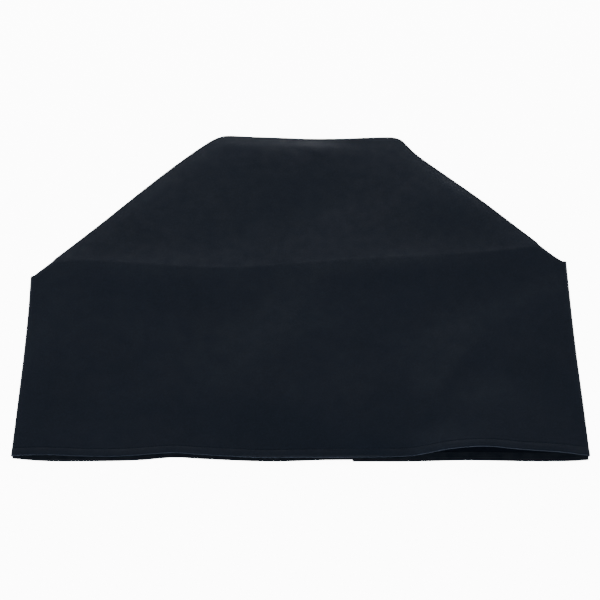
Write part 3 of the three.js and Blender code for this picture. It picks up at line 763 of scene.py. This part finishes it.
def cloth_object(name, sheet, thickness):
    """A closed cloth from a mid-surface, with its flat pattern as UV map and its places of wear and painted
    light as attribute.
    """
    points = np.vstack(sheet.points)
    made = new_object(name, points, sheet.faces)
    mesh = made.data
    flat = np.vstack(sheet.flat) * MM
    corners = np.empty(len(mesh.loops), int)
    mesh.loops.foreach_get("vertex_index", corners)
    mesh.uv_layers.new(name="flat").data.foreach_set("uv", flat[corners].ravel())
    # Mask of lighter colour: wear with a painted highlight along the folded edges, painted light on the hem's
    # inner band, and wear with a painted highlight low on the hem's edge
    wear_and_painted_light = FOLD_WEAR_AND_HIGHLIGHT * np.exp(-distance_to_edge(points[:, 0], points[:, 1]) / FOLD_WEAR_AND_HIGHLIGHT_REACH)
    wear_and_painted_light = np.maximum(wear_and_painted_light, BAND_PAINTED_LIGHT * (flat[:, 1] < -MM))
    wear_and_painted_light = np.maximum(wear_and_painted_light, LOW_HEM_WEAR_AND_HIGHLIGHT * ((flat[:, 1] < MM) & (points[:, 2] < LOW_EDGE - 1)))
    mesh.attributes.new("wear_and_painted_light", "FLOAT", "POINT").data.foreach_set("value", wear_and_painted_light)
    bpy.ops.object.modifier_add(type="SOLIDIFY")
    modifier = made.modifiers[-1]
    modifier.thickness = thickness
    modifier.offset = 0
    modifier.use_rim = True
    bpy.ops.object.modifier_apply(modifier=modifier.name)
    bpy.ops.object.shade_smooth_by_angle(angle=math.radians(50))
    return made


def closed_line(points):
    """Lengths along a ring of points, back to its start, and the ring with its start repeated."""
    ring = np.vstack((points, points[:1]))
    steps = np.linalg.norm(np.diff(ring, axis=0), axis=1)
    return np.concatenate(([0], np.cumsum(steps))), ring


def stitch_mesh(line, outward, pitch, thread):
    """Stitches along a closed line, on the outer face of the hem and on its inner face."""
    lengths, ring = closed_line(line)
    directions = np.vstack((outward, outward[:1]))
    count = round(lengths[-1] / pitch)
    pitch = lengths[-1] / count
    sides = THREAD_SIDES
    angle = 2 * np.pi * np.arange(sides) / sides
    points = []
    faces = []
    for face, start in ((1, 0), (-1, 0.5)):
        offset = CLOTH / 2 if face == 1 else CLOTH / 2 + HEM_GAP
        for k in range(count):
            first = len(points)
            for along, size, rise in STITCH:
                here = (k + start + along) * pitch % lengths[-1]
                place, ahead = (np.array([np.interp(at % lengths[-1], lengths, ring[:, c]) for c in range(3)])
                                for at in (here, here + LOOK_AHEAD))
                out = np.array([np.interp(here, lengths, directions[:, c]) for c in range(3)])
                way = (ahead - place) / np.linalg.norm(ahead - place)
                out = out - way * out.dot(way)
                out /= np.linalg.norm(out)
                wide = np.cross(way, out)
                centre = place + out * face * (offset + thread / 2 * rise)
                for turn in angle:
                    points.append(centre + thread / 2 * size * (out * math.cos(turn) + wide * math.sin(turn)))
            for step in range(len(STITCH) - 1):
                low = first + step * sides
                for c in range(sides):
                    d = (c + 1) % sides
                    faces.append((low + c, low + d, low + sides + d, low + sides + c))
            faces.append(tuple(first + c for c in reversed(range(sides))))
            end = first + (len(STITCH) - 1) * sides
            faces.append(tuple(end + c for c in range(sides)))
    return np.array(points), faces


class Value:
    """A socket whose arithmetic adds Math nodes."""

    def __init__(self, finish, socket):
        self.finish = finish
        self.socket = socket

    def __add__(self, other):
        return self.finish.maths("ADD", self, other)

    def __sub__(self, other):
        return self.finish.maths("SUBTRACT", self, other)

    def __rsub__(self, other):
        return self.finish.maths("SUBTRACT", other, self)

    def __mul__(self, other):
        return self.finish.maths("MULTIPLY", self, other)

    __radd__ = __add__
    __rmul__ = __mul__


class Finish:
    """A material and the one way in which its nodes are made."""

    def __init__(self, name):
        self.material = bpy.data.materials.new(name)
        self.material.use_nodes = True
        self.tree = self.material.node_tree
        self.shader = next(node for node in self.tree.nodes if node.type == "BSDF_PRINCIPLED")

    def node(self, kind, settings=None, **values):
        """A node of this kind: its settings first, then the values or links of its sockets."""
        made = self.tree.nodes.new(f"ShaderNode{kind}")
        for name, setting in (settings or {}).items():
            setattr(made, name, setting)
        self.feed(made, values)
        return made

    def feed(self, node, values):
        """Sets or links sockets, each by its name or, as i0 and so on, by its number."""
        for name, value in values.items():
            key = int(name[1:]) if name[0] == "i" and name[1:].isdigit() else name.replace("_", " ")
            socket = node.inputs[key]
            if isinstance(value, Value):
                self.tree.links.new(value.socket, socket)
            else:
                socket.default_value = value

    def maths(self, operation, *values):
        """A Math node's result."""
        sockets = {f"i{k}": value for k, value in enumerate(values)}
        made = self.node("Math", {"operation": operation}, **sockets)
        return Value(self, made.outputs[0])

    def out(self, node, name):
        return Value(self, node.outputs[name])

    def noise(self, vector, scale, detail=2.0, roughness=0.5):
        made = self.node("TexNoise", Vector=vector, Scale=scale, Detail=detail, Roughness=roughness)
        return self.out(made, "Fac")

    def spread(self, value, low, high, to_low=0.0, to_high=1.0):
        """The value, stretched smoothly from one range to another."""
        made = self.node("MapRange", {"interpolation_type": "SMOOTHSTEP"}, Value=value,
                         From_Min=low, From_Max=high, To_Min=to_low, To_Max=to_high)
        return self.out(made, "Result")

    def blend(self, share, a, b):
        """Colour a mixed with colour b."""
        made = self.node("Mix", {"data_type": "RGBA"}, i0=share, i6=a, i7=b)
        return Value(self, made.outputs[2])


def shaded(colour, factor):
    """The colour, darker or lighter by the factor."""
    return (*(channel * factor for channel in colour[:3]), 1.0)


def coated_cloth(name, colours):
    """Matt coated cloth: a fine weave, faint mottling, dust in the nap, and lighter folds and hem: wear with
    painted highlights, and painted light on the hem's inner band.
    """
    finish = Finish(name)
    base = tuple(colours.cloth)
    flat = finish.out(finish.node("UVMap", {"uv_map": "flat"}), "UV")
    place = finish.out(finish.node("TexCoord"), "Object")
    wear_and_painted_light = finish.out(finish.node("Attribute", {"attribute_name": "wear_and_painted_light"}), "Fac")

    cloudy = finish.noise(place, 9.0, 3.0, 0.55)
    grainy = finish.noise(place, 420.0, 3.0, 0.6)
    rubbed = finish.noise(place, 60.0, 4.0, 0.65)
    colour = finish.blend(finish.spread(cloudy, 0.3, 0.72), shaded(base, 0.95), shaded(base, 1.06))
    colour = finish.blend(finish.spread(grainy, 0.35, 0.75, 0.0, 0.5), colour, shaded(base, 1.7))
    # Lighter colour on the mask: wear with a painted highlight along the folds and low on the hem's edge, and
    # painted light on the hem's inner band
    colour = finish.blend(wear_and_painted_light * finish.spread(rubbed, 0.3, 0.7, 0.25, 0.8), colour, tuple(colours.wear_and_painted_light))

    parts = finish.node("SeparateXYZ", Vector=flat)
    turns = 2 * math.pi / (WEAVE * MM)
    warp = finish.maths("SINE", finish.out(parts, "X") * turns)
    weft = finish.maths("SINE", finish.out(parts, "Y") * turns)
    weave = warp * weft * 0.5 + 0.5
    drawn_out = finish.node("Mapping", Vector=flat, Scale=(1.0, 9.0, 1.0))
    slubs = finish.noise(finish.out(drawn_out, "Vector"), 130.0)
    relief = weave * 0.6 + slubs * 0.5 + grainy * 0.5

    finish.feed(finish.shader, {
        "Base_Color": colour,
        "Roughness": finish.spread(rubbed, 0.2, 0.8, 0.6, 0.74) - wear_and_painted_light * 0.06,
        "Specular_IOR_Level": 0.05,
        "Sheen_Weight": 0.02,
        "Sheen_Roughness": 0.45,
        "Sheen_Tint": (0.8, 0.88, 1.0, 1.0),
    })
    bump = finish.node("Bump", Strength=0.3, Distance=0.12 * MM, Height=relief)
    finish.feed(finish.shader, {"Normal": finish.out(bump, "Normal")})
    return finish.material


def sewing_thread(name, colours):
    """Spun polyester thread with its twist and a little fluff."""
    finish = Finish(name)
    base = tuple(colours.thread)
    place = finish.out(finish.node("TexCoord"), "Object")
    parts = finish.node("SeparateXYZ", Vector=place)
    ply = finish.maths("SINE", (finish.out(parts, "X") + finish.out(parts, "Y")) * (2 * math.pi / (0.5 * MM)))
    fluff = finish.noise(place, 2400.0, 2.0, 0.6)
    colour = finish.blend(finish.spread(fluff, 0.3, 0.75), shaded(base, 0.8), shaded(base, 1.5))
    finish.feed(finish.shader, {
        "Base_Color": colour,
        "Roughness": finish.spread(fluff, 0.2, 0.8, 0.5, 0.68),
        "Specular_IOR_Level": 0.08,
        "Sheen_Weight": 0.04,
    })
    bump = finish.node("Bump", Strength=0.5, Distance=0.06 * MM, Height=ply * 0.5 + fluff * 0.5)
    finish.feed(finish.shader, {"Normal": finish.out(bump, "Normal")})
    return finish.material


def studio_floor(name, colours):
    """Pale seamless paper, lit so that it reads nearly white."""
    finish = Finish(name)
    place = finish.out(finish.node("TexCoord"), "Object")
    fibre = finish.noise(place, 300.0, 3.0, 0.6)
    base = tuple(colours.floor)
    finish.feed(finish.shader, {
        "Base_Color": finish.blend(finish.spread(fibre, 0.3, 0.7), shaded(base, 0.985), base),
        "Roughness": 0.9,
        "Specular_IOR_Level": 0.1,
        "Emission_Color": (1.0, 1.0, 1.0, 1.0),
        "Emission_Strength": FLOOR_GLOW,
    })
    return finish.material


def studio_walls(name):
    """Bright white walls low down, and a dim ceiling."""
    world = bpy.data.worlds.new(name)
    world.use_nodes = True
    tree = world.node_tree
    background = next(node for node in tree.nodes if node.type == "BACKGROUND")
    place = tree.nodes.new("ShaderNodeTexCoord")
    parts = tree.nodes.new("ShaderNodeSeparateXYZ")
    fade = tree.nodes.new("ShaderNodeMapRange")
    fade.interpolation_type = "SMOOTHSTEP"
    for key, value in (("From Min", 0.04), ("From Max", 0.12),
                       ("To Min", WALL_LIGHT), ("To Max", CEILING_LIGHT)):
        fade.inputs[key].default_value = value
    tree.links.new(place.outputs["Generated"], parts.inputs["Vector"])
    tree.links.new(parts.outputs["Z"], fade.inputs["Value"])
    tree.links.new(fade.outputs["Result"], background.inputs["Strength"])
    background.inputs["Color"].default_value = (1.0, 1.0, 1.0, 1.0)
    return world


class CoverSizes(bpy.types.PropertyGroup):
    thickness: bpy.props.FloatProperty(
        name="Cloth thickness", description="Thickness of the coated cloth with its folds' looseness",
        default=CLOTH * MM, min=0.0003, max=0.0012, precision=4, unit="LENGTH")
    pitch: bpy.props.FloatProperty(
        name="Stitch pitch", description="Distance from one hem stitch to the next",
        default=3.8 * MM, min=0.002, max=0.008, precision=4, unit="LENGTH")
    thread: bpy.props.FloatProperty(
        name="Thread", description="Thickness of the sewing thread",
        default=0.36 * MM, min=0.0001, max=0.001, precision=5, unit="LENGTH")


class CoverColours(bpy.types.PropertyGroup):
    cloth: bpy.props.FloatVectorProperty(
        name="Cloth", description="Colour of the coated cloth", subtype="COLOR", size=4,
        default=(0.0058, 0.0086, 0.0147, 1.0), min=0.0, max=1.0)
    # Lighter colour for wear along the folds, which also paints a highlight there and on the hem's edge, and
    # painted light on the hem's inner band
    wear_and_painted_light: bpy.props.FloatVectorProperty(
        name="Worn folds and painted light", description="Colour where folds and the hem's edge are rubbed",
        subtype="COLOR", size=4,
        default=(0.02, 0.025, 0.033, 1.0), min=0.0, max=1.0)
    thread: bpy.props.FloatVectorProperty(
        name="Thread", description="Colour of the sewing thread", subtype="COLOR", size=4,
        default=(0.0055, 0.0088, 0.0145, 1.0), min=0.0, max=1.0)
    floor: bpy.props.FloatVectorProperty(
        name="Floor", description="Colour of the floor", subtype="COLOR", size=4,
        default=(0.9, 0.9, 0.9, 1.0), min=0.0, max=1.0)


class COVER_OT_skirt(bpy.types.Operator):
    """Make the skirt: the four walls in one strip, folded, with its turned hem and the hem's stitches"""

    bl_idname = "cover.skirt"
    bl_label = "Make the skirt"

    def execute(self, context):
        sizes = context.scene.cover_sizes
        colours = context.scene.cover_colours
        sheet, (line, outward) = build_skirt()
        skirt = cloth_object("skirt_cloth", sheet, sizes.thickness)
        skirt.data.materials.append(coated_cloth("coated cloth, walls", colours))
        points, faces = stitch_mesh(line, outward, sizes.pitch / MM, sizes.thread / MM)
        stitches = new_object("hem_stitches", points, faces)
        bpy.ops.object.shade_smooth_by_angle(angle=math.radians(60))
        stitches.data.materials.append(sewing_thread("sewing thread", colours))
        for piece in (skirt, stitches):
            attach(piece, "root")
        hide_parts("skirt")
        return {"FINISHED"}


class COVER_OT_top(bpy.types.Operator):
    """Make the top panel, folded in half inside the tuck"""

    bl_idname = "cover.top"
    bl_label = "Make the top panel"

    def execute(self, context):
        top = cloth_object("top_cloth", build_top(), context.scene.cover_sizes.thickness)
        top.data.materials.append(coated_cloth("coated cloth, top", context.scene.cover_colours))
        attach(top, "root")
        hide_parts("top_panel")
        return {"FINISHED"}


class COVER_OT_stage(bpy.types.Operator):
    """Make the floor, the soft studio lights and the camera"""

    bl_idname = "cover.stage"
    bl_label = "Make the stage"

    def execute(self, context):
        bpy.ops.object.select_all(action="DESELECT")
        bpy.ops.mesh.primitive_plane_add(size=FLOOR_SIZE, location=(0, 0, 0))
        floor = context.object
        floor.name = "floor"
        floor.data.transform(floor.matrix_world)
        floor.data.materials.append(studio_floor("pale floor", context.scene.cover_colours))

        context.scene.world = studio_walls("studio")

        for name, place, aim, size, power in LIGHTS:
            bpy.ops.object.light_add(type="AREA", location=place)
            light = context.object
            light.name = name
            light.rotation_euler = (Vector(aim) - Vector(place)).to_track_quat("-Z", "Y").to_euler()
            light.data.shape = "RECTANGLE"
            light.data.size, light.data.size_y = size
            light.data.energy = power

        bpy.ops.object.camera_add(location=CAMERA_PLACE, rotation=(math.radians(CAMERA_TILT), 0, 0))
        camera = context.object
        camera.data.lens = CAMERA_LENS
        camera.data.sensor_width = 36.0
        camera.data.clip_end = 60.0
        camera.data.dof.use_dof = False
        context.scene.camera = camera
        return {"FINISHED"}


class COVER_PT_panel(bpy.types.Panel):
    bl_label = "Collapsed speaker cover"
    bl_idname = "COVER_PT_panel"
    bl_space_type = "VIEW_3D"
    bl_region_type = "UI"
    bl_category = "Cover"

    def draw(self, context):
        column = self.layout.column()
        for group in (context.scene.cover_sizes, context.scene.cover_colours):
            for name in group.bl_rna.properties.keys():
                if name not in {"rna_type", "name"}:
                    column.prop(group, name)
        for operator in OPERATORS:
            column.operator(operator.bl_idname)


OPERATORS = (COVER_OT_skirt, COVER_OT_top, COVER_OT_stage)
CLASSES = (CoverSizes, CoverColours, *OPERATORS, COVER_PT_panel)


def register():
    for made in CLASSES:
        bpy.utils.register_class(made)
    bpy.types.Scene.cover_sizes = bpy.props.PointerProperty(type=CoverSizes)
    bpy.types.Scene.cover_colours = bpy.props.PointerProperty(type=CoverColours)


def unregister():
    del bpy.types.Scene.cover_colours
    del bpy.types.Scene.cover_sizes
    for made in reversed(CLASSES):
        bpy.utils.unregister_class(made)


def main():
    register()
    bpy.ops.cover.skirt()
    bpy.ops.cover.top()
    bpy.ops.cover.stage()


if __name__ == "__main__":
    main()
